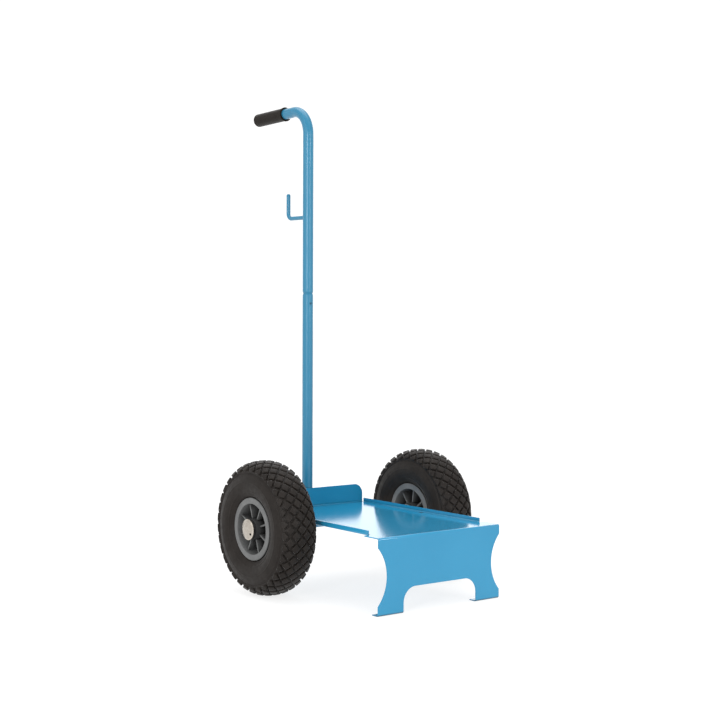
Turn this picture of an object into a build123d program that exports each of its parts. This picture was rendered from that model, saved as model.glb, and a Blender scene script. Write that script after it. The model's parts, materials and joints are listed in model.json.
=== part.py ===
from build123d import *
import math
import os

# Battery cart: a folded sheet deck with legs in front, two wheels on one axle and a pole handle behind.
# Millimetres. +Z is up, the front panel faces -Y, X runs along the axle. The origin is on the floor, under
# the middle of the whole cart.

# Wheels
wheel_d = 260.0
tyre_w = 82.0
tyre_gap = 17.5
rim_d = 121.0
rim_w = 66.0
rim_flange_t = 5.0
rim_flange_h = 7.5
rim_wall = 4.0
rim_draft = 4.0
web_t = 5.0
rib_count = 8
rib_t = 3.0
rib_recess = 6.5
hub_d = 40.0
hub_len = 70.0
bush_d = 28.0
bush_len = 25.0
bush_flange_d = 36.0
bush_flange_t = 2.5
rim_turn = {"left": 26.5, "right": 8.0}

# Tread and sidewalls of the tyres
block_count = 33
block_gap = 4.0
row_pitch = 11.6
rows_a_side = 4
block_root = 3.0
tread_depth = 4.0
tread_steps = 200
section_h = 30.6
crown_power = 2.27
shoulder_power = 2.42
tread_end_drop = 17.0
tread_foot_drop = 22.0
tread_undercut = 3.2
bead_lift = 2.0
bead_lip = 0.5
bead_inset = 1.5
tyre_turn = 8.0

# Folded sheet
sheet = 2.0
fold_r = 2.0
rail_w = 273.0
rail_h = 10.0
rail_start = 42.0
rail_relief = 2.0
rail_stop = 4.0
panel_overhang = 10.5
axle_to_front = 290.0
axle_to_back = 125.0
flange_side = 2.0
flange_h = 40.0
flange_corner_r = 21.0
lip_len = 18.0
foot_w = 59.0
arch_h = 47.0
arch_r = 28.0
waist_in = 20.5
waist_head = 18.0
waist_foot = 18.0
strap_hole_d = 6.0
strap_hole_inset = 6.5
strap_hole_ahead = 82.0

# Axle and what is on it
axle_d = 20.0
axle_chamfer = 1.5
cheek_t = 5.0
cheek_w = 70.0
cheek_wall = 9.0
washer_t = 2.0
washer_d = 34.0
collar_wall = 4.0
collar_w = 10.0
cap_d = 40.0
cap_edge_h = 1.6
cap_dome_h = 4.4
cap_wall = 1.2
cap_hole_d = 4.5
cap_hole_out = 14.3
cap_hole_turn = 211.0
weld_leg = 6.0
weld_len = 40.0
weld_pitch = 80.0
weld_count = 3

# Pole, hook and grip
pole_d = 22.0
pole_wall = 2.0
lower_pole_len = 443.0
spigot_len = 60.0
spigot_lead = 2.0
spigot_chamfer = 0.8
groove_h = 3.6
groove_depth = 1.3
dent_below_seam = 21.0
dent_ball_r = 5.0
dent_depth = 1.3
dent_count = 3
bend_r = 50.0
grip_above_seam = 378.0
grip_drop = 2.0
grip_after_bend = 30.0
grip_len = 104.0
grip_d = 27.4
grip_ring_d = 29.6
grip_ring_t = 3.0
grip_ring_r = 0.8
grip_end_t = 4.0
grip_end_r = 3.0
hook_d = 8.5
hook_above_seam = 157.0
hook_reach = 71.0
hook_rise = 52.0
hook_bend_r = 11.0
hook_tip_r = 3.5

# Clearances
run_fit = 0.05
side_play = 0.3
spigot_fit = 0.05
cap_clearance = 0.3

# Places that follow from the sizes above
wheel_r = wheel_d / 2
axle_r = axle_d / 2
pole_r = pole_d / 2
pole_bore_r = pole_r - pole_wall
fold_out_r = fold_r + sheet
track = rail_w + 2 * tyre_gap + tyre_w
wheel_x = track / 2
rail_line = rail_w / 2 - fold_out_r
panel_w = rail_w + 2 * panel_overhang
deck_under_z = wheel_r + axle_r
deck_z = deck_under_z + sheet
flange_top_z = deck_under_z + flange_h
seam_z = deck_under_z + lower_pole_len
dent_z = seam_z - dent_below_seam
hook_z = seam_z + hook_above_seam
bend_z = seam_z + grip_above_seam - bend_r
bend_out = bend_r * (1 + math.sin(math.radians(grip_drop)))
bend_rise = bend_r * math.cos(math.radians(grip_drop))
grip_run = (grip_after_bend + grip_len) * math.cos(math.radians(grip_drop))
overall_len = axle_to_front + axle_to_back + pole_r + bend_out + grip_run
front_y = -overall_len / 2
axle_y = front_y + axle_to_front
back_y = axle_y + axle_to_back
pole_y = back_y + pole_r
rail_front_y = front_y + rail_start + rail_relief
rail_back_y = back_y - sheet - rail_stop
tyre_seat_r = rim_d / 2 - rim_flange_h
widest_r = wheel_r - section_h
bead_x = rim_w / 2 - rim_flange_t
washer_x = hub_len / 2 + bush_flange_t + side_play
cap_x = wheel_x + washer_x + washer_t
cap_sphere_r = (cap_d ** 2 / 4 + cap_dome_h ** 2) / (2 * cap_dome_h)
cap_centre_x = cap_x + cap_edge_h + cap_dome_h - cap_sphere_r
axle_centre = Pos(0, axle_y, wheel_r)


def outlined(corners):
    """A face from ((u, v), corner radius) pairs."""
    points = [point for point, radius in corners]
    radii = [radius for point, radius in corners]
    return make_face(FilletPolyline(*points, radius=radii, close=True))


def ring(x_from, x_to, inner_r, outer_r):
    """A plain ring about the X axis."""
    section = Polyline((x_from, inner_r), (x_to, inner_r), (x_to, outer_r), (x_from, outer_r), close=True)
    return revolve(make_face(section), Axis.X)


def folded_side():
    """The whole sheet's section seen from the side: foot lip, front panel, deck and back flange."""
    section = outlined([
        ((front_y + lip_len, 0), 0),
        ((front_y, 0), fold_out_r),
        ((front_y, deck_z), fold_out_r),
        ((back_y - sheet, deck_z), fold_r),
        ((back_y - sheet, flange_top_z), 0),
        ((back_y, flange_top_z), 0),
        ((back_y, deck_under_z), fold_out_r),
        ((front_y + sheet, deck_under_z), fold_r),
        ((front_y + sheet, sheet), fold_r),
        ((front_y + lip_len, sheet), 0),
    ])
    return extrude(Plane.YZ * section, amount=panel_w / 2, both=True)


def plan_blank():
    """The sheet's outline seen from above, without the rails: wide in front, narrower between the rails."""
    flange_x = rail_line + flange_side
    flange_y = rail_back_y + rail_relief
    right = [
        (panel_w / 2, front_y),
        (panel_w / 2, rail_front_y - rail_relief),
        (rail_line, rail_front_y - rail_relief),
        (rail_line, flange_y),
        (flange_x, flange_y),
        (flange_x, back_y),
    ]
    left = [(-x, y) for x, y in reversed(right)]
    return extrude(make_face(Polyline(*right, *left, close=True)), amount=flange_top_z)


def front_cutters():
    """What is cut from the front panel: the arch between the legs and the drawn-in sides."""
    arch = Rectangle(panel_w - 2 * foot_w, 2 * arch_h)
    arch = fillet(arch.vertices().group_by(Axis.Y)[-1], arch_r)
    chord = deck_z - waist_head - waist_foot
    waist_r = (chord ** 2 / 4 + waist_in ** 2) / (2 * waist_in)
    waist_x = panel_w / 2 - waist_in + waist_r
    waist = Pos(waist_x, waist_foot + chord / 2) * Circle(waist_r)
    depth = lip_len + sheet
    behind_lip = Plane.XZ.offset(-front_y - depth)
    return [extrude(behind_lip * cut, amount=2 * depth) for cut in (arch, waist, mirror(waist, Plane.YZ))]


def side_rail():
    """The right-hand rail, folded up from the deck's edge."""
    rail_top_z = deck_under_z + rail_h
    section = outlined([
        ((rail_line - sheet, deck_under_z), 0),
        ((rail_w / 2, deck_under_z), fold_out_r),
        ((rail_w / 2, rail_top_z), 0),
        ((rail_w / 2 - sheet, rail_top_z), 0),
        ((rail_w / 2 - sheet, deck_z), fold_r),
        ((rail_line - sheet, deck_z), 0),
    ])
    return extrude(Plane.XZ.offset(-rail_back_y) * section, amount=rail_back_y - rail_front_y)


def deck_sheet():
    body = folded_side() & plan_blank()
    rail = side_rail()
    body = body - front_cutters() + [rail, mirror(rail, Plane.YZ)]
    hole_x = rail_line - strap_hole_inset
    hole = Pos(hole_x, axle_y - strap_hole_ahead, deck_z) * Cylinder(strap_hole_d / 2, 3 * sheet)
    body -= [hole, mirror(hole, Plane.YZ)]
    flange_top = body.faces().filter_by(Axis.Z).sort_by(Axis.Z)[-1]
    return fillet(flange_top.edges().filter_by(Axis.Y), flange_corner_r)


def weld_section(bar_r):
    """Two weld beads between a round bar about the origin and the flat v = bar_r that it touches."""
    near = bar_r / 3
    far = near + weld_leg
    edge_angle = math.radians(55)
    on_bar = (bar_r * math.sin(edge_angle), bar_r * math.cos(edge_angle))
    bead = make_face(Polyline((near, bar_r), (far, bar_r), on_bar, (near, 0), close=True)) - Circle(bar_r)
    return bead, mirror(bead, Plane.YZ)


def axle():
    """One rod through both wheels, stitched to the deck's underside with short welds."""
    cap_inside_r = cap_sphere_r - cap_wall
    end = cap_centre_x + math.sqrt(cap_inside_r ** 2 - axle_r ** 2) - cap_clearance
    rod = extrude(Plane.YZ * Circle(axle_r), amount=end, both=True)
    rod = chamfer(rod.edges().group_by(Axis.X)[0] + rod.edges().group_by(Axis.X)[-1], axle_chamfer)
    for place in range(weld_count):
        start = (place - (weld_count - 1) / 2) * weld_pitch - weld_len / 2
        for bead in weld_section(axle_r):
            rod += extrude(Plane.YZ.offset(start) * bead, amount=weld_len)
    return axle_centre * rod


def axle_cheek():
    """The right-hand plate under the deck, with an open notch that the axle lies in."""
    foot_r = axle_r + cheek_wall
    deck_line = Line((-cheek_w / 2, axle_r), (cheek_w / 2, axle_r))
    foot = CenterArc((0, 0), foot_r, 180, 180)
    notch = Circle(axle_r) + Pos(0, axle_r) * Rectangle(axle_d, axle_d)
    plate = make_hull([*deck_line.edges(), *foot.edges()]) - notch
    return extrude(Plane.YZ.offset(rail_line - cheek_t) * plate, amount=cheek_t)


def stop_collar():
    """A ring welded on the axle, so that the wheel can't move inwards."""
    outer_x = wheel_x - washer_x - washer_t
    return ring(outer_x - collar_w, outer_x, axle_r, axle_r + collar_wall)


def inner_washer():
    return ring(wheel_x - washer_x - washer_t, wheel_x - washer_x, axle_r, washer_d / 2)


def outer_washer():
    return ring(wheel_x + washer_x, cap_x, axle_r, washer_d / 2)


def dome(sphere_r, skirt_r):
    """A filled dome on a short straight skirt that starts at the cap's open end."""
    edge_angle = math.asin(skirt_r / sphere_r)
    edge = (cap_centre_x + sphere_r * math.cos(edge_angle), skirt_r)
    half_way = (cap_centre_x + sphere_r * math.cos(edge_angle / 2), sphere_r * math.sin(edge_angle / 2))
    top = (cap_centre_x + sphere_r, 0)
    section = [
        Line((cap_x, 0), (cap_x, skirt_r)),
        Line((cap_x, skirt_r), edge),
        ThreePointArc(edge, half_way, top),
        Line(top, (cap_x, 0)),
    ]
    return revolve(make_face(section), Axis.X)


def hub_cap():
    """A pressed cap: a thin dome with a collar inside that grips the axle's end, and a small vent hole."""
    inside = dome(cap_sphere_r - cap_wall, cap_d / 2 - cap_wall)
    collar = ring(cap_x, cap_x + cap_edge_h + cap_dome_h, axle_r, axle_r + cap_wall) & inside
    vent = Plane.YZ.offset(cap_x + cap_edge_h) * Rot(0, 0, cap_hole_turn) * Pos(cap_hole_out, 0)
    return dome(cap_sphere_r, cap_d / 2) - inside + collar - vent * Cylinder(cap_hole_d / 2, 2 * cap_dome_h)


def rim():
    """A moulded rim: stepped barrel for the beads, hub tube, middle web and ribs on both sides."""
    half_w = rim_w / 2
    mouth_r = tyre_seat_r - rim_wall
    waist_r = mouth_r - rim_draft
    edge_r = rim_flange_t / 3
    right = [
        ((web_t / 2, waist_r), 0),
        ((half_w, mouth_r), 0),
        ((half_w, rim_d / 2), edge_r),
        ((bead_x, rim_d / 2), edge_r),
        ((bead_x, tyre_seat_r), 0),
    ]
    left = [((-x, r), radius) for (x, r), radius in reversed(right)]
    barrel = revolve(outlined(right + left), Axis.X)
    hub = ring(-hub_len / 2, hub_len / 2, bush_d / 2, hub_d / 2)
    inside_hub_r = (bush_d + hub_d) / 4
    inside_wall_r = tyre_seat_r - rim_wall / 2
    web = ring(-web_t / 2, web_t / 2, inside_hub_r, inside_wall_r)
    rib_h = inside_wall_r - inside_hub_r
    rib = Pos(0, 0, inside_hub_r + rib_h / 2) * Box(rim_w - 2 * rib_recess, rib_t, rib_h)
    ribs = [Rot(360 * place / rib_count, 0, 0) * rib for place in range(rib_count)]
    return barrel + [hub, web, *ribs]


def tread_points():
    """The line over the blocks' tops, from the crown to the widest place: (distance along it, x, radius)."""
    points = [(0, 0, wheel_r)]
    for step in range(1, tread_steps + 1):
        turn = math.pi / 2 * (1 - step / tread_steps)
        x = tyre_w / 2 * math.cos(turn) ** (2 / crown_power)
        r = widest_r + section_h * max(0, math.sin(turn)) ** (2 / shoulder_power)
        along, last_x, last_r = points[-1]
        points.append((along + math.hypot(x - last_x, r - last_r), x, r))
    return points


tread_line = tread_points()


def on_tread(along):
    """The point (x, radius) at a distance along the blocks' tops, counted from the crown."""
    far = next(place for place, point in enumerate(tread_line) if point[0] > abs(along))
    from_along, from_x, from_r = tread_line[far - 1]
    to_along, to_x, to_r = tread_line[far]
    part = (abs(along) - from_along) / (to_along - from_along)
    return math.copysign(from_x + part * (to_x - from_x), along), from_r + part * (to_r - from_r)


def out_of_tread(along, reach):
    """The direction that points straight out of the tread, between two places that reach to each side."""
    inner_x, inner_r = on_tread(along - reach)
    outer_x, outer_r = on_tread(along + reach)
    span = math.hypot(outer_x - inner_x, outer_r - inner_r)
    return (inner_r - outer_r) / span, (outer_x - inner_x) / span


def under_tread(along):
    """The tread's floor under a place on the blocks' tops."""
    x, r = on_tread(along)
    out_x, out_r = out_of_tread(along, tread_depth / 2)
    return x - out_x * tread_depth, r - out_r * tread_depth


def tread_end():
    """The edge where the tread stops: distance along the tops, the corner, and the foot on the sidewall."""
    along, x, r = next(point for point in tread_line if point[2] <= wheel_r - tread_end_drop)
    return along, (x, r), (x - tread_undercut, wheel_r - tread_foot_drop)


def tyre_carcass():
    """The tyre under its blocks: tread floor, overhanging tread edges, sidewalls and the beads in the rim."""
    end_along, corner, foot = tread_end()
    floor_along = 2 * row_pitch
    floor = under_tread(floor_along)
    shoulder = under_tread((floor_along + end_along) / 2)
    edge = ((corner[0] + foot[0]) / 2, (corner[1] + foot[1]) / 2)
    collar = (rim_w / 2 - bead_inset, rim_d / 2 + bead_lift)
    wall = (tyre_w / 2, (foot[1] + collar[1]) / 2)
    lip = (bead_x, rim_d / 2 + bead_lip)
    seat = (bead_x, tyre_seat_r)
    right = [
        ThreePointArc((0, wheel_r - tread_depth), under_tread(row_pitch), floor),
        ThreePointArc(floor, shoulder, edge),
        Line(edge, foot),
        ThreePointArc(foot, wall, collar),
        Polyline(collar, lip, seat, (0, tyre_seat_r)),
    ]
    left = [mirror(line, Plane.YZ) for line in right]
    return revolve(make_face([*right, *left]), Axis.X)


def tread_block(along):
    """One diamond block at the wheel's top: flat on both sides of a fold, cut off at the tread's edge."""
    x, r = on_tread(along)
    lattice_len = math.pi * r / block_count
    lattice_h = lattice_len * row_pitch / math.hypot(lattice_len, row_pitch)
    shrink = 1 - block_gap / 2 / lattice_h
    half_len = lattice_len * shrink
    half_w = row_pitch * shrink
    out_x, out_r = out_of_tread(along, half_w / 2)
    deep = tread_depth + block_root
    end_along, corner, foot = tread_end()
    fold = (x, math.sqrt(r ** 2 - half_len ** 2))
    inner = on_tread(along - row_pitch)
    root = (inner[0] - out_x * deep, inner[1] - out_r * deep)
    if along + half_w > end_along:
        section = [inner, fold, corner, (foot[0] - block_root, foot[1] - block_root), root]
    else:
        outer = on_tread(along + row_pitch)
        section = [inner, fold, outer, (outer[0] - out_x * deep, outer[1] - out_r * deep), root]
    bar = extrude(Plane.XZ * make_face(Polyline(*section, close=True)), amount=half_len, both=True)
    diamond = make_face(Polyline((half_len, 0), (0, half_w), (-half_len, 0), (0, -half_w), close=True))
    on_top = Plane((x, 0, r), x_dir=(0, 1, 0), z_dir=(out_x, 0, out_r))
    return bar & extrude(on_top * diamond, amount=2 * deep, both=True)


def tyre():
    """Carcass and rows of diamond blocks. Each row stands half a block on from the rows beside it."""
    pitch = 360 / block_count
    blocks = []
    for row in range(rows_a_side):
        right = tread_block((row + 0.5) * row_pitch)
        left = mirror(right, Plane.YZ)
        for place in range(block_count):
            turn = pitch * (place + row % 2 / 2)
            blocks += [Rot(turn, 0, 0) * right, Rot(turn + pitch / 2, 0, 0) * left]
    return tyre_carcass().fuse(*blocks)


def outer_bush():
    """A flanged bush in the rim's hub, with its flange on the hub's outer end."""
    end = hub_len / 2
    sleeve = ring(end - bush_len, end, axle_r + run_fit, bush_d / 2)
    return sleeve + ring(end, end + bush_flange_t, axle_r + run_fit, bush_flange_d / 2)


def dent_balls(ball_r):
    """Balls round the pole under its seam, one for each punched dent."""
    out = pole_r + dent_ball_r - dent_depth
    around = PolarLocations(out, dent_count, start_angle=-90)
    return [Pos(0, pole_y, dent_z) * place * Sphere(ball_r) for place in around]


def lower_pole():
    """The lower tube: rounded-off top, punched dents that hold the handle, welds to the back flange."""
    section = Polyline(
        (pole_bore_r, deck_under_z),
        (pole_r, deck_under_z),
        (pole_r, seam_z - groove_h),
        (pole_r - groove_depth, seam_z),
        (pole_bore_r, seam_z),
        close=True,
    )
    tube = Pos(0, pole_y, 0) * revolve(Plane.XZ * make_face(section), Axis.Z)
    inside = Pos(0, pole_y, dent_z) * Cylinder(pole_r - pole_wall / 2, 4 * dent_ball_r)
    tube += [ball & inside for ball in dent_balls(dent_ball_r + pole_wall)]
    tube -= dent_balls(dent_ball_r)
    weld_from = deck_z + fold_out_r
    weld_plane = Plane((0, pole_y, weld_from), x_dir=(-1, 0, 0), z_dir=(0, 0, 1))
    for bead in weld_section(pole_r):
        tube += extrude(weld_plane * bead, amount=flange_top_z - fold_out_r - weld_from)
    return tube


def handle_tube():
    """The upper tube: swaged spigot and shoulder below, bend and straight run for the grip above."""
    spigot_r = pole_bore_r - spigot_fit
    spigot_bore_r = spigot_r - pole_wall
    spigot_z = seam_z - spigot_len
    section = Polyline(
        (spigot_bore_r, spigot_z),
        (spigot_r - spigot_chamfer, spigot_z),
        (spigot_r, spigot_z + spigot_lead),
        (spigot_r, seam_z),
        (pole_r - groove_depth, seam_z),
        (pole_r, seam_z + groove_h),
        (pole_r, bend_z),
        (pole_bore_r, bend_z),
        (pole_bore_r, seam_z + 2 * groove_h),
        (spigot_bore_r, seam_z - groove_h),
        close=True,
    )
    straight = Pos(0, pole_y, 0) * revolve(Plane.XZ * make_face(section), Axis.Z)
    straight -= dent_balls(dent_ball_r + pole_wall + spigot_fit)
    bend = JernArc((pole_y, bend_z), (0, 1), bend_r, -90 - grip_drop)
    run_len = grip_after_bend + grip_len - grip_end_t
    run = Line(bend @ 1, bend @ 1 + bend % 1 * run_len)
    tube_section = Pos(0, pole_y, bend_z) * (Circle(pole_r) - Circle(pole_bore_r))
    return straight + sweep(tube_section, path=Plane.YZ * (bend + run))


def cable_hook():
    """A round bar from the pole, bent upwards, with its root cut to the pole's curve."""
    arm = Line((pole_y, hook_z), (pole_y + hook_reach - hook_bend_r, hook_z))
    bend = JernArc(arm @ 1, (1, 0), hook_bend_r, 90)
    leg = Line(bend @ 1, (pole_y + hook_reach, hook_z + hook_rise))
    section = Plane.XZ.offset(-pole_y) * Pos(0, hook_z) * Circle(hook_d / 2)
    bar = sweep(section, path=Plane.YZ * (arm + bend + leg))
    bar -= Pos(0, pole_y, hook_z) * Cylinder(pole_r, 2 * hook_d)
    return fillet(bar.edges().group_by(Axis.Z)[-1], hook_tip_r)


def hand_grip():
    """A moulded sleeve with a collar towards the pole and a closed, rounded end."""
    grip_r = grip_d / 2
    ring_r = grip_ring_d / 2
    bore_end = grip_len - grip_end_t
    section = outlined([
        ((0, pole_r), 0),
        ((0, ring_r), grip_ring_r),
        ((grip_ring_t, ring_r), grip_ring_r),
        ((grip_ring_t, grip_r), 0),
        ((grip_len, grip_r), grip_end_r),
        ((grip_len, 0), 0),
        ((bore_end, 0), 0),
        ((bore_end, pole_r), 0),
    ])
    along_pole = Pos(0, pole_y + bend_out, bend_z + bend_rise) * Rot(-grip_drop, 0, 0)
    return along_pole * Pos(0, grip_after_bend, 0) * Rot(0, 0, 90) * revolve(section, Axis.X)


pieces = {
    "deck_sheet": deck_sheet(),
    "axle": axle(),
    "lower_pole": lower_pole(),
    "handle_tube": handle_tube(),
    "cable_hook": cable_hook(),
    "hand_grip": hand_grip(),
}
bush = outer_bush()
on_wheel = Pos(wheel_x, 0, 0)
right_hand = {
    "axle_cheek": axle_cheek(),
    "stop_collar": stop_collar(),
    "inner_washer": inner_washer(),
    "outer_washer": outer_washer(),
    "hub_cap": hub_cap(),
    "tyre": on_wheel * tyre(),
    "rim": on_wheel * rim(),
    "outer_bush": on_wheel * bush,
    "inner_bush": on_wheel * mirror(bush, Plane.YZ),
}
parked_turn = {f"rim_{side}": turn for side, turn in rim_turn.items()}
parked_turn.update({f"tyre_{side}": tyre_turn for side in rim_turn})
for name, shape in right_hand.items():
    for side, hand in (("right", shape), ("left", mirror(shape, Plane.YZ))):
        node = f"{name}_{side}"
        pieces[node] = axle_centre * Rot(parked_turn.get(node, 0), 0, 0) * hand

os.makedirs("parts", exist_ok=True)
for name, piece in pieces.items():
    export_step(piece, f"parts/{name}.step")
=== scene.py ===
import bpy
import json
import math
from mathutils import Matrix, Vector


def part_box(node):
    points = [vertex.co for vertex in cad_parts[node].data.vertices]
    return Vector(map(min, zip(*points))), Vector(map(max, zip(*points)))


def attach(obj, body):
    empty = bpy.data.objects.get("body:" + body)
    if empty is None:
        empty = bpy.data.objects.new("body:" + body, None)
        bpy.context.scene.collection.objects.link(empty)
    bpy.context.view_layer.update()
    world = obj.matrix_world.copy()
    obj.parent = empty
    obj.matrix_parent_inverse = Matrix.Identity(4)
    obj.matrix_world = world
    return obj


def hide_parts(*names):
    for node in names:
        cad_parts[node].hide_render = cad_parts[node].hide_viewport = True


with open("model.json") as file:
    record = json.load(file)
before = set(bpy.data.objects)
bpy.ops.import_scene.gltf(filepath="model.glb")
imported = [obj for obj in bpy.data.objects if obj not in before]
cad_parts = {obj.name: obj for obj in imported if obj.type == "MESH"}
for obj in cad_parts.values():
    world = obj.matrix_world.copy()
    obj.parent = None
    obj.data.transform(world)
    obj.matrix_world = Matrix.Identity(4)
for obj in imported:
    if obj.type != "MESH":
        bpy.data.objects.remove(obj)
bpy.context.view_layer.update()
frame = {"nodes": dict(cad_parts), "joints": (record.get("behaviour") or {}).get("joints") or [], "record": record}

# Sizes read from the frame, in metres
wheel_at = {}
for joint in frame["joints"]:
    wheel_at[joint["child"].removesuffix("_wheel")] = Vector(joint["pos_m"])
rim_low, rim_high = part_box("rim_right")
RIM_R = (rim_high[2] - rim_low[2]) / 2
WHEEL_R = wheel_at["right"].z

# Painted light and shade on the wheels: a reach in metres, then (1 at the middle to 0 at the reach, factor on the
# colour)
# Painted shade on the rims' recessed webs between the ribs
WEB_REACH_X = 0.03
WEB_SHADES = [(0.08, 1.0), (0.40, 0.28)]
# Painted shade round the hubs
HUB_REACH = 0.022
HUB_SHADES = [(0.0, 1.0), (0.06, 0.3)]
# The caps' faces painted darker, leaving a painted highlight on their rounded edges
CAP_REACH = 0.02
CAP_SHADES = [(0.07, 1.0), (0.16, 0.81)]

# Strap holes in the deck
strap_holes = next(mount for mount in frame["record"]["mounts"] if mount["name"] == "strap_holes")
HOLES_AT = strap_holes["pos_m"]
HOLE_X = strap_holes["dims"]["spacing_x_mm"] / 2000
HOLE_R = strap_holes["dims"]["hole_r_mm"] / 1000
# Painted shade on the coat round each strap hole, for the shade inside the hole
HOLE_REACH = 2 * HOLE_R
HOLE_SHADES = [(0.16, 1.0), (0.24, 0.02)]

# Punched dents round the pole, with painted shade on the tube's coat round each dent
POLE_Y = 0.12017
DENT_Z = 0.562
DENT_OUT = 0.0104
DENT_REACH = 0.0045
DENT_SHADES = [(0.25, 1.0), (0.6, 0.5)]
DENT_TURNS = (math.radians(-90), math.radians(30), math.radians(150))

# The part of a noise texture's range that tones and roughness are spread over
NOISE_LOW = 0.3
NOISE_HIGH = 0.7
# Samples for the painted shade in recesses
OCCLUSION_SHADE_SAMPLES = 8

# Pieces made of drawn tube or bar
TUBES = ("lower_pole", "handle_tube", "cable_hook")

# Soft edges on the sheet, the moulded rims and the plain turned pieces
SOFT_EDGED = ("deck_sheet", "rim", "axle", "axle_cheek", "stop_collar", "inner_washer", "outer_washer")
EDGE_W = 0.00025
EDGE_STEPS = 2
EDGE_ANGLE = 32.0
WELD_GAP = 0.00002

# Tyres: the section and the diamond lattice of the solids, with rounded block edges and moulded rings
TYRE_W = 0.082
SECTION_H = 0.0306
CROWN_POWER = 2.27
SHOULDER_POWER = 2.42
TABLE_STEPS = 240
BLOCK_COUNT = 33
BLOCK_GAP = 0.004
ROW_PITCH = 0.0116
ROWS_A_SIDE = 4
TREAD_DEPTH = 0.004
TREAD_END_R = WHEEL_R - 0.017
TREAD_FOOT_R = WHEEL_R - 0.022
TREAD_UNDERCUT = 0.0032
TYRE_TURN = math.radians(8.0)
BLOCK_EDGE = 0.0010
BLOCK_DRAFT = 0.0004
EDGE_LEVEL = 0.84
ROOT_LEVEL = -0.4
TOP_RING = 0.45
FOOT_SINK = 0.999
SIDE_STEPS = 3
FLOOR_STEPS = 12
SHOULDER_STEPS = 10
WALL_STEPS = 48
TURN_STEPS = 4 * BLOCK_COUNT
COLLAR = (0.0315, RIM_R + 0.002)
LIP = (0.028, RIM_R + 0.0005)
SEAT = (0.028, RIM_R - 0.0075)
RING_HEIGHT = 0.0005
RING_HALF_W = 0.0011
RING_FLAT = 1.6
RING_RADII = (0.1035, 0.0905, 0.0725)
SHADING_WEIGHT = 80

# Floor
FLOOR_R = 40.0
FLOOR_SIDES = 96
FLOOR_GLOW = 0.78

# Studio: the sky's brightness from the horizon (0.5) to straight overhead (1), and where the lights aim
SKY_LEVELS = [(0.5, 1.0), (0.61, 1.0), (0.70, 0.6), (0.85, 0.7), (1.0, 1.0)]
SKY_STRENGTH = 1.1
CART_MIDDLE = (0.0, 0.0, 0.35)
TUBE_MIDDLE = (0.0, 0.0, 1.0)

# Camera and picture
CAMERA_AT = (-1.75907, -2.34638, 0.55930)
CAMERA_YAW = 37.548
CAMERA_PITCH = 2.152
CAMERA_ROLL = 0.238
FOCAL_PX = 1461.03
PHOTO_PX = 720
SENSOR_MM = 36.0


def new_material(name):
    """A material, its node tree and its Principled shader."""
    material = bpy.data.materials.new(name)
    material.use_nodes = True
    return material, material.node_tree, material.node_tree.nodes["Principled BSDF"]


def noise(tree, scale, detail=3.0):
    """A noise texture in the part's own metres: scale is in features for each metre."""
    coords = tree.nodes.new("ShaderNodeTexCoord")
    texture = tree.nodes.new("ShaderNodeTexNoise")
    texture.inputs["Scale"].default_value = scale
    texture.inputs["Detail"].default_value = detail
    tree.links.new(coords.outputs["Object"], texture.inputs["Vector"])
    return texture.outputs["Fac"]


def ramp(tree, fac, stops):
    """A colour ramp through (position, colour) stops."""
    node = tree.nodes.new("ShaderNodeValToRGB")
    while len(node.color_ramp.elements) < len(stops):
        node.color_ramp.elements.new(0.5)
    for element, (position, colour) in zip(node.color_ramp.elements, stops):
        element.position = position
        element.color = (*colour, 1.0)
    tree.links.new(fac, node.inputs["Fac"])
    return node.outputs["Color"]


def tones(tree, scale, dark, light):
    """A colour that wanders between two tones, with scale features for each metre."""
    return ramp(tree, noise(tree, scale), [(NOISE_LOW, dark), (NOISE_HIGH, light)])


def spread(tree, fac, low, high):
    """Noise, mapped to the range low to high."""
    node = tree.nodes.new("ShaderNodeMapRange")
    node.inputs["From Min"].default_value = NOISE_LOW
    node.inputs["From Max"].default_value = NOISE_HIGH
    node.inputs["To Min"].default_value = low
    node.inputs["To Max"].default_value = high
    tree.links.new(fac, node.inputs["Value"])
    return node.outputs["Result"]


def occlusion_shade(tree, colour, distance):
    """The colour with painted shade, darker where the surface lies deep between other surfaces."""
    node = tree.nodes.new("ShaderNodeAmbientOcclusion")
    node.inputs["Distance"].default_value = distance
    node.samples = OCCLUSION_SHADE_SAMPLES
    tree.links.new(colour, node.inputs["Color"])
    return node.outputs["Color"]


def painted_shading(tree, colour, at, reach, stops):
    """The colour, times painted shading by distance from a place, with a reach in x, y and z (0 has no limit)."""
    scale = [1 / length if length else 0.0 for length in reach]
    coords = tree.nodes.new("ShaderNodeTexCoord")
    mapping = tree.nodes.new("ShaderNodeMapping")
    mapping.inputs["Location"].default_value = [-place * factor for place, factor in zip(at, scale)]
    mapping.inputs["Scale"].default_value = scale
    gradient = tree.nodes.new("ShaderNodeTexGradient")
    gradient.gradient_type = "SPHERICAL"
    tree.links.new(coords.outputs["Object"], mapping.inputs["Vector"])
    tree.links.new(mapping.outputs["Vector"], gradient.inputs["Vector"])
    node = tree.nodes.new("ShaderNodeMix")
    node.data_type = "RGBA"
    node.blend_type = "MULTIPLY"
    factor, first, second = node.inputs[0], node.inputs[6], node.inputs[7]
    factor.default_value = 1.0
    tree.links.new(colour, first)
    shades = [(place, (level, level, level)) for place, level in stops]
    tree.links.new(ramp(tree, gradient.outputs["Fac"], shades), second)
    return node.outputs[2]


def bump(tree, shader, height, distance):
    """Bump from a height, distance in metres."""
    node = tree.nodes.new("ShaderNodeBump")
    node.inputs["Distance"].default_value = distance
    tree.links.new(height, node.inputs["Height"])
    tree.links.new(node.outputs["Normal"], shader.inputs["Normal"])


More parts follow.
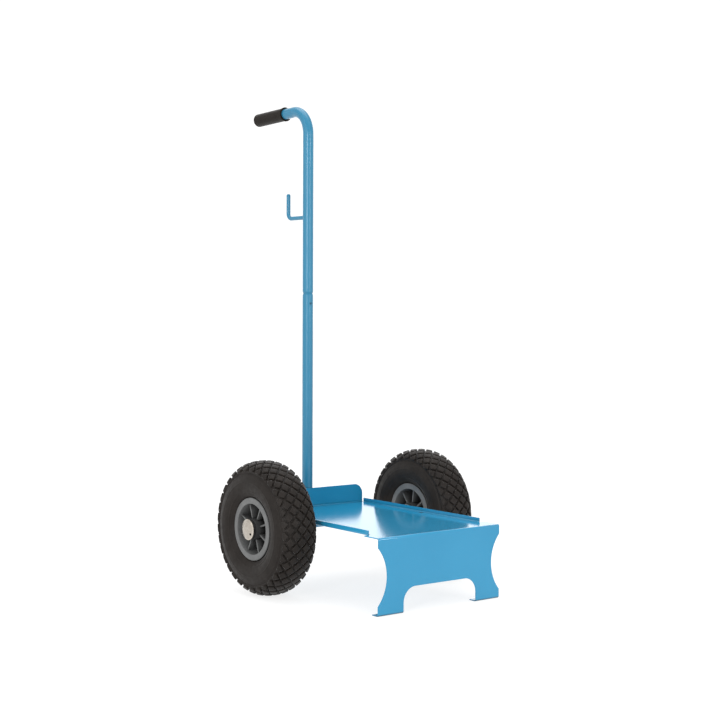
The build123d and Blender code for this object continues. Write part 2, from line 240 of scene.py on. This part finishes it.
def gloss_blue(name, dark, light, specular, coat, coat_rough, peel, marks):
    """Gloss coat: a faint orange peel, small changes of tone, painted shade round the marked places and in
    recesses, a clear reflecting skin.
    """
    material, tree, shader = new_material(name)
    tone = tones(tree, 9.0, dark, light)
    # Painted shade round each marked place
    for at, reach, shades in marks:
        tone = painted_shading(tree, tone, at, 3 * [reach], shades)
    # Painted shade in recesses: the strap holes' walls and the coat's inside corners
    tree.links.new(occlusion_shade(tree, tone, 0.005), shader.inputs["Base Color"])
    tree.links.new(spread(tree, noise(tree, 60.0), 0.26, 0.34), shader.inputs["Roughness"])
    shader.inputs["Specular IOR Level"].default_value = specular
    shader.inputs["Coat Weight"].default_value = coat
    shader.inputs["Coat Roughness"].default_value = coat_rough
    bump(tree, shader, noise(tree, 110.0, detail=0.0), peel)
    return material


def blue_coat():
    """The coat on the sheet and plates, with painted shade round the strap holes."""
    holes = []
    for x in (-HOLE_X, HOLE_X):
        holes.append(((x, HOLES_AT[1], HOLES_AT[2]), HOLE_REACH, HOLE_SHADES))
    return gloss_blue("blue_coat", dark=(0.017, 0.222, 0.398), light=(0.021, 0.238, 0.420),
                      specular=0.0, coat=1.0, coat_rough=0.135, peel=0.000004, marks=holes)


def blue_tube_shaded():
    """The coat on the drawn tube and bar, which are smoother, its base painted darker than the sheet's as shade,
    with painted shade round the dents.
    """
    dents = []
    for turn in DENT_TURNS:
        at = (DENT_OUT * math.cos(turn), POLE_Y + DENT_OUT * math.sin(turn), DENT_Z)
        dents.append((at, DENT_REACH, DENT_SHADES))
    return gloss_blue("blue_tube_shaded", dark=(0.017, 0.166, 0.284), light=(0.021, 0.180, 0.304),
                      specular=0.05, coat=0.8, coat_rough=0.31, peel=0.0000005, marks=dents)


def rim_grey():
    """Moulded grey plastic: fine grain, faint flow marks, painted shade on the webs and round the hubs, and in the
    recesses between the ribs.
    """
    material, tree, shader = new_material("rim_grey")
    tone = tones(tree, 45.0, (0.110, 0.112, 0.112), (0.140, 0.142, 0.142))
    # Painted shade on the recessed webs and round the hubs
    for centre in wheel_at.values():
        tone = painted_shading(tree, tone, centre, (WEB_REACH_X, RIM_R, RIM_R), WEB_SHADES)
    tone = painted_shading(tree, tone, wheel_at["right"], (0.0, HUB_REACH, HUB_REACH), HUB_SHADES)
    # Painted shade in the rims' recesses between the ribs
    tree.links.new(occlusion_shade(tree, tone, 0.022), shader.inputs["Base Color"])
    tree.links.new(spread(tree, noise(tree, 160.0), 0.42, 0.58), shader.inputs["Roughness"])
    shader.inputs["Specular IOR Level"].default_value = 0.3
    bump(tree, shader, noise(tree, 1600.0), 0.00006)
    return material


def tyre_rubber():
    """Tyre rubber: dull brown-black, with dusty patches and a fine skin."""
    material, tree, shader = new_material("tyre_rubber")
    dusty = noise(tree, 38.0, detail=6.0)
    clean, dust = (0.0104, 0.0080, 0.0066), (0.0172, 0.0137, 0.0116)
    tone = ramp(tree, dusty, [(NOISE_LOW, clean), (0.72, dust)])
    tree.links.new(tone, shader.inputs["Base Color"])
    tree.links.new(spread(tree, noise(tree, 120.0), 0.46, 0.62), shader.inputs["Roughness"])
    shader.inputs["Specular IOR Level"].default_value = 0.16
    shader.inputs["Sheen Weight"].default_value = 0.11
    shader.inputs["Sheen Roughness"].default_value = 0.3
    bump(tree, shader, noise(tree, 900.0), 0.00010)
    return material


def grip_black():
    """Soft black grip: satin skin with a fine leather-like grain."""
    material, tree, shader = new_material("grip_black")
    tone = tones(tree, 70.0, (0.0090, 0.0066, 0.0050), (0.0135, 0.0104, 0.0080))
    tree.links.new(tone, shader.inputs["Base Color"])
    tree.links.new(spread(tree, noise(tree, 220.0), 0.36, 0.48), shader.inputs["Roughness"])
    shader.inputs["Specular IOR Level"].default_value = 0.11
    bump(tree, shader, noise(tree, 1300.0), 0.00010)
    return material


def bright_zinc():
    """Bright plated cap, its face painted slightly darker than its rounded edge, which carries a painted
    highlight.
    """
    material, tree, shader = new_material("bright_zinc")
    tone = tones(tree, 130.0, (0.49, 0.445, 0.385), (0.60, 0.55, 0.485))
    # Face painted darker, leaving a painted highlight on the rounded edge
    tone = painted_shading(tree, tone, wheel_at["right"], (0.0, CAP_REACH, CAP_REACH), CAP_SHADES)
    tree.links.new(tone, shader.inputs["Base Color"])
    tree.links.new(spread(tree, noise(tree, 300.0), 0.18, 0.30), shader.inputs["Roughness"])
    shader.inputs["Metallic"].default_value = 1.0
    bump(tree, shader, noise(tree, 500.0), 0.00004)
    return material


def zinc_steel():
    """Plain zinc plate on washers and collars."""
    material, tree, shader = new_material("zinc_steel")
    tone = tones(tree, 220.0, (0.42, 0.42, 0.40), (0.58, 0.58, 0.55))
    tree.links.new(tone, shader.inputs["Base Color"])
    tree.links.new(spread(tree, noise(tree, 350.0), 0.28, 0.45), shader.inputs["Roughness"])
    shader.inputs["Metallic"].default_value = 1.0
    bump(tree, shader, noise(tree, 700.0), 0.00004)
    return material


def bush_nylon():
    """Dark moulded nylon."""
    material, tree, shader = new_material("bush_nylon")
    tone = tones(tree, 140.0, (0.022, 0.022, 0.023), (0.036, 0.036, 0.037))
    tree.links.new(tone, shader.inputs["Base Color"])
    tree.links.new(spread(tree, noise(tree, 260.0), 0.45, 0.60), shader.inputs["Roughness"])
    bump(tree, shader, noise(tree, 1200.0), 0.00004)
    return material


MATERIALS = {maker.__name__: maker() for maker in (
    blue_coat, blue_tube_shaded, rim_grey, tyre_rubber, grip_black, bright_zinc, zinc_steel, bush_nylon)}


def soften_edges(obj):
    """Small rounds on the sharp edges, which catch the light."""
    weld = obj.modifiers.new("weld", "WELD")
    weld.merge_threshold = WELD_GAP
    bevel = obj.modifiers.new("soft_edges", "BEVEL")
    bevel.width = EDGE_W
    bevel.segments = EDGE_STEPS
    bevel.limit_method = "ANGLE"
    bevel.angle_limit = math.radians(EDGE_ANGLE)
    bevel.harden_normals = True


def dress_node(node, slot):
    """Gives a CAD node its material and soft edges."""
    obj = frame["nodes"][node]
    obj.data.materials.clear()
    # The tubes take the darker copy of the coat, its base painted for the shade on them
    obj.data.materials.append(MATERIALS["blue_tube_shaded" if node in TUBES else slot])
    if node.removesuffix("_left").removesuffix("_right") in SOFT_EDGED:
        soften_edges(obj)


def tread_table():
    """The line over the blocks' tops, from the crown to the widest place: (length so far, x, radius)."""
    table = [(0.0, 0.0, WHEEL_R)]
    for step in range(1, TABLE_STEPS + 1):
        turn = math.pi / 2 * (1 - step / TABLE_STEPS)
        x = TYRE_W / 2 * math.cos(turn) ** (2 / CROWN_POWER)
        r = WHEEL_R - SECTION_H + SECTION_H * max(0.0, math.sin(turn)) ** (2 / SHOULDER_POWER)
        along, last_x, last_r = table[-1]
        table.append((along + math.hypot(x - last_x, r - last_r), x, r))
    return table


TREAD = tread_table()


def on_tread(along):
    """The point (x, radius) at a distance along the blocks' tops, and the direction out of the tread."""
    far = next(place for place, row in enumerate(TREAD) if row[0] > abs(along))
    from_along, from_x, from_r = TREAD[far - 1]
    to_along, to_x, to_r = TREAD[far]
    span = to_along - from_along
    part = (abs(along) - from_along) / span
    side = math.copysign(1.0, along)
    point = Vector((side * (from_x + part * (to_x - from_x)), from_r + part * (to_r - from_r)))
    return point, Vector((side * (from_r - to_r) / span, (to_x - from_x) / span))


def at_level(along, level):
    """A place in the tread's section: level 1 is the blocks' top, level 0 the floor between them."""
    point, out = on_tread(along)
    return point - out * TREAD_DEPTH * (1 - level)


def arc_through(a, b, c):
    """The arc from a through b to c: a function of the part of its length, with a lift off the arc."""
    ab = Vector(b) - Vector(a)
    ac = Vector(c) - Vector(a)
    cross = 2 * (ab.x * ac.y - ab.y * ac.x)
    to_centre = Vector((ac.y * ab.length_squared - ab.y * ac.length_squared,
                        ab.x * ac.length_squared - ac.x * ab.length_squared)) / cross
    centre = Vector(a) + to_centre
    from_turn = math.atan2(-to_centre.y, -to_centre.x)
    to_turn = math.atan2(c[1] - centre.y, c[0] - centre.x)

    def point(part, lift=0.0):
        turn = from_turn + (to_turn - from_turn) * part
        return centre + (to_centre.length + lift) * Vector((math.cos(turn), math.sin(turn)))

    return point


END_ALONG = next(along for along, x, r in TREAD if r <= TREAD_END_R)
CORNER = on_tread(END_ALONG)[0]
FOOT = Vector((CORNER.x - TREAD_UNDERCUT, TREAD_FOOT_R))


def carcass_section():
    """Half the section under the blocks, from the crown to the rim's seat."""
    floor_end = 2 * ROW_PITCH
    points = [at_level(floor_end * step / FLOOR_STEPS, 0.0) for step in range(FLOOR_STEPS)]
    tread_edge = (CORNER + FOOT) / 2
    shoulder = arc_through(at_level(floor_end, 0.0), at_level((floor_end + END_ALONG) / 2, 0.0), tread_edge)
    points += [shoulder(step / SHOULDER_STEPS) for step in range(SHOULDER_STEPS + 1)]
    wall = arc_through(FOOT, (TYRE_W / 2, (FOOT.y + COLLAR[1]) / 2), COLLAR)
    for step in range(WALL_STEPS + 1):
        part = step / WALL_STEPS
        off_ring = min(abs(wall(part).y - ring_r) for ring_r in RING_RADII)
        ring_part = min(1.0, max(0.0, RING_FLAT * (1 - off_ring / RING_HALF_W)))
        points.append(wall(part, RING_HEIGHT * ring_part))
    return points + [Vector(LIP), Vector(SEAT)]


def block_outline(along, half_turn, half_w):
    """A block's corners as (angle, distance from the row's middle line), cut off at the tread's end."""
    corners = [(0.0, -half_w), (half_turn, 0.0)]
    if along + half_w > END_ALONG:
        out = END_ALONG - along
        end_turn = half_turn * (1 - out / half_w)
        corners += [(end_turn, out), (-end_turn, out)]
    else:
        corners.append((0.0, half_w))
    return corners + [(-half_turn, 0.0)]


def block_rings(row):
    """One block of a row: rings of (angle, section point) from its root upwards, and its top's middle."""
    along = (row + 0.5) * ROW_PITCH
    lattice_turn = math.pi / BLOCK_COUNT
    lattice_len = lattice_turn * on_tread(along)[0].y
    lattice_h = lattice_len * ROW_PITCH / math.hypot(lattice_len, ROW_PITCH)
    shrink = 1 - BLOCK_GAP / 2 / lattice_h
    corners = block_outline(along, lattice_turn * shrink, ROW_PITCH * shrink)
    outline = []
    for (from_turn, from_out), (to_turn, to_out) in zip(corners, corners[1:] + corners[:1]):
        for step in range(SIDE_STEPS):
            part = step / SIDE_STEPS
            turn = from_turn + part * (to_turn - from_turn)
            outline.append((turn, from_out + part * (to_out - from_out)))
    inner_h = lattice_h * shrink
    sizes = [
        (1 + BLOCK_DRAFT / inner_h, ROOT_LEVEL),
        (1.0, EDGE_LEVEL),
        (1 - BLOCK_EDGE / inner_h, 1.0),
        (TOP_RING, 1.0),
    ]
    rings = []
    for size, level in sizes:
        ring = []
        for turn, out in outline:
            place = min(along + out * size, END_ALONG)
            at_end = level == ROOT_LEVEL and place == END_ALONG
            ring.append((turn * size, FOOT * FOOT_SINK if at_end else at_level(place, level)))
        rings.append(ring)
    return rings, at_level(along, 1.0)


def add_rings(vertices, faces, rings, closed):
    """Quads between one ring of vertices and the next, and from the last to the first if closed."""
    count = len(rings[0])
    start = len(vertices)
    for ring in rings:
        vertices.extend(ring)
    for place in range(len(rings) if closed else len(rings) - 1):
        low = start + place * count
        high = start + (place + 1) % len(rings) * count
        for step in range(count):
            after = (step + 1) % count
            faces.append((low + step, low + after, high + after, high + step))
    return start


def tyre(side):
    """One tyre: a revolved carcass with its diamond blocks."""
    centre = wheel_at[side]
    outside = 1.0 if side == "right" else -1.0

    def place(turn, point, mirrored=1.0):
        angle = turn + TYRE_TURN
        along = outside * mirrored * point.x
        return centre + Vector((along, -point.y * math.sin(angle), point.y * math.cos(angle)))

    half = carcass_section()
    section = [Vector((-point.x, point.y)) for point in reversed(half[1:])] + half
    turns = [2 * math.pi * step / TURN_STEPS for step in range(TURN_STEPS)]
    vertices = []
    faces = []
    add_rings(vertices, faces, [[place(turn, point) for turn in turns] for point in section], True)
    pitch = 2 * math.pi / BLOCK_COUNT
    for row in range(ROWS_A_SIDE):
        rings, middle = block_rings(row)
        for mirrored in (1.0, -1.0):
            for block in range(BLOCK_COUNT):
                start_turn = pitch * (block + row % 2 / 2 + (0.0 if mirrored > 0 else 0.5))
                placed = [[place(start_turn + turn, point, mirrored) for turn, point in ring]
                          for ring in rings]
                start = add_rings(vertices, faces, placed, False)
                count = len(rings[0])
                last = start + (len(rings) - 1) * count
                top = len(vertices)
                vertices.append(place(start_turn, middle, mirrored))
                faces.extend((last + step, last + (step + 1) % count, top) for step in range(count))
    mesh = bpy.data.meshes.new(f"tyre_{side}_tread")
    mesh.from_pydata(vertices, [], faces)
    mesh.polygons.foreach_set("use_smooth", [True] * len(mesh.polygons))
    mesh.materials.append(MATERIALS["tyre_rubber"])
    obj = bpy.data.objects.new(f"tyre_{side}_tread", mesh)
    bpy.context.scene.collection.objects.link(obj)
    even = obj.modifiers.new("even_shading", "WEIGHTED_NORMAL")
    even.weight = SHADING_WEIGHT
    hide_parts(f"tyre_{side}")
    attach(obj, f"{side}_wheel")


def floor():
    """A wide pale floor."""
    turns = [2 * math.pi * step / FLOOR_SIDES for step in range(FLOOR_SIDES)]
    edge = [(FLOOR_R * math.cos(turn), FLOOR_R * math.sin(turn), 0.0) for turn in turns]
    mesh = bpy.data.meshes.new("floor")
    mesh.from_pydata(edge, [], [tuple(range(FLOOR_SIDES))])
    material, tree, shader = new_material("pale_floor")
    tone = tones(tree, 3.0, (0.25, 0.25, 0.25), (0.26, 0.26, 0.26))
    tree.links.new(tone, shader.inputs["Base Color"])
    shader.inputs["Roughness"].default_value = 0.9
    shader.inputs["Specular IOR Level"].default_value = 0.1
    shader.inputs["Emission Color"].default_value = (1.0, 1.0, 1.0, 1.0)
    shader.inputs["Emission Strength"].default_value = FLOOR_GLOW
    mesh.materials.append(material)
    obj = bpy.data.objects.new("floor", mesh)
    bpy.context.scene.collection.objects.link(obj)


def soft_light(name, at, towards, width, height, power):
    """An area light, sizes in metres and power in watts."""
    light = bpy.data.lights.new(name, "AREA")
    light.shape = "RECTANGLE"
    light.size = width
    light.size_y = height
    light.energy = power
    obj = bpy.data.objects.new(name, light)
    obj.location = at
    aim = Vector(towards) - Vector(at)
    obj.rotation_euler = aim.to_track_quat("-Z", "Y").to_euler()
    bpy.context.scene.collection.objects.link(obj)


def studio():
    """A white room, dimmer between the horizon and overhead, with soft lights and two upright strips."""
    world = bpy.data.worlds.new("studio")
    world.use_nodes = True
    tree = world.node_tree
    coords = tree.nodes.new("ShaderNodeTexCoord")
    mapping = tree.nodes.new("ShaderNodeMapping")
    mapping.inputs["Location"].default_value = (0.5, 0.0, 0.0)
    mapping.inputs["Rotation"].default_value = (0.0, math.radians(90.0), 0.0)
    mapping.inputs["Scale"].default_value = (0.5, 0.5, 0.5)
    gradient = tree.nodes.new("ShaderNodeTexGradient")
    tree.links.new(coords.outputs["Generated"], mapping.inputs["Vector"])
    tree.links.new(mapping.outputs["Vector"], gradient.inputs["Vector"])
    stops = [(place, (level, level, level)) for place, level in SKY_LEVELS]
    sky = ramp(tree, gradient.outputs["Fac"], stops)
    tree.links.new(sky, tree.nodes["Background"].inputs["Color"])
    tree.nodes["Background"].inputs["Strength"].default_value = SKY_STRENGTH
    bpy.context.scene.world = world
    soft_light("front_top", (0.2, -2.0, 3.2), CART_MIDDLE, width=3.0, height=3.0, power=16.0)
    soft_light("strip_left", (-2.67, -1.65, 1.045), TUBE_MIDDLE, width=0.6, height=0.87, power=36.0)
    soft_light("strip_right", (0.42, -3.05, 1.045), TUBE_MIDDLE, width=0.6, height=0.87, power=20.0)
    soft_light("left", (-3.0, 0.4, 2.0), CART_MIDDLE, width=2.4, height=2.4, power=16.0)
    soft_light("top", (0.2, 0.6, 3.4), CART_MIDDLE, width=2.6, height=2.6, power=42.0)
    soft_light("backdrop", (2.6, 3.4, 1.2), CART_MIDDLE, width=5.0, height=5.0, power=70.0)
    bpy.context.scene.view_settings.view_transform = "Standard"


def camera():
    """The photograph's camera."""
    data = bpy.data.cameras.new("camera")
    data.sensor_fit = "HORIZONTAL"
    data.sensor_width = SENSOR_MM
    data.lens = FOCAL_PX * SENSOR_MM / PHOTO_PX
    obj = bpy.data.objects.new("camera", data)
    turn = Matrix.Rotation(math.radians(-CAMERA_YAW), 4, "Z")
    tilt = Matrix.Rotation(math.radians(90.0 - CAMERA_PITCH), 4, "X")
    roll = Matrix.Rotation(math.radians(CAMERA_ROLL), 4, "Z")
    obj.matrix_world = Matrix.Translation(CAMERA_AT) @ turn @ tilt @ roll
    bpy.context.scene.collection.objects.link(obj)
    bpy.context.scene.camera = obj


for subpart in frame["record"]["subparts"]:
    dress_node(subpart["node"], subpart["material_slot"])
for wheel_side in wheel_at:
    tyre(wheel_side)
floor()
studio()
camera()
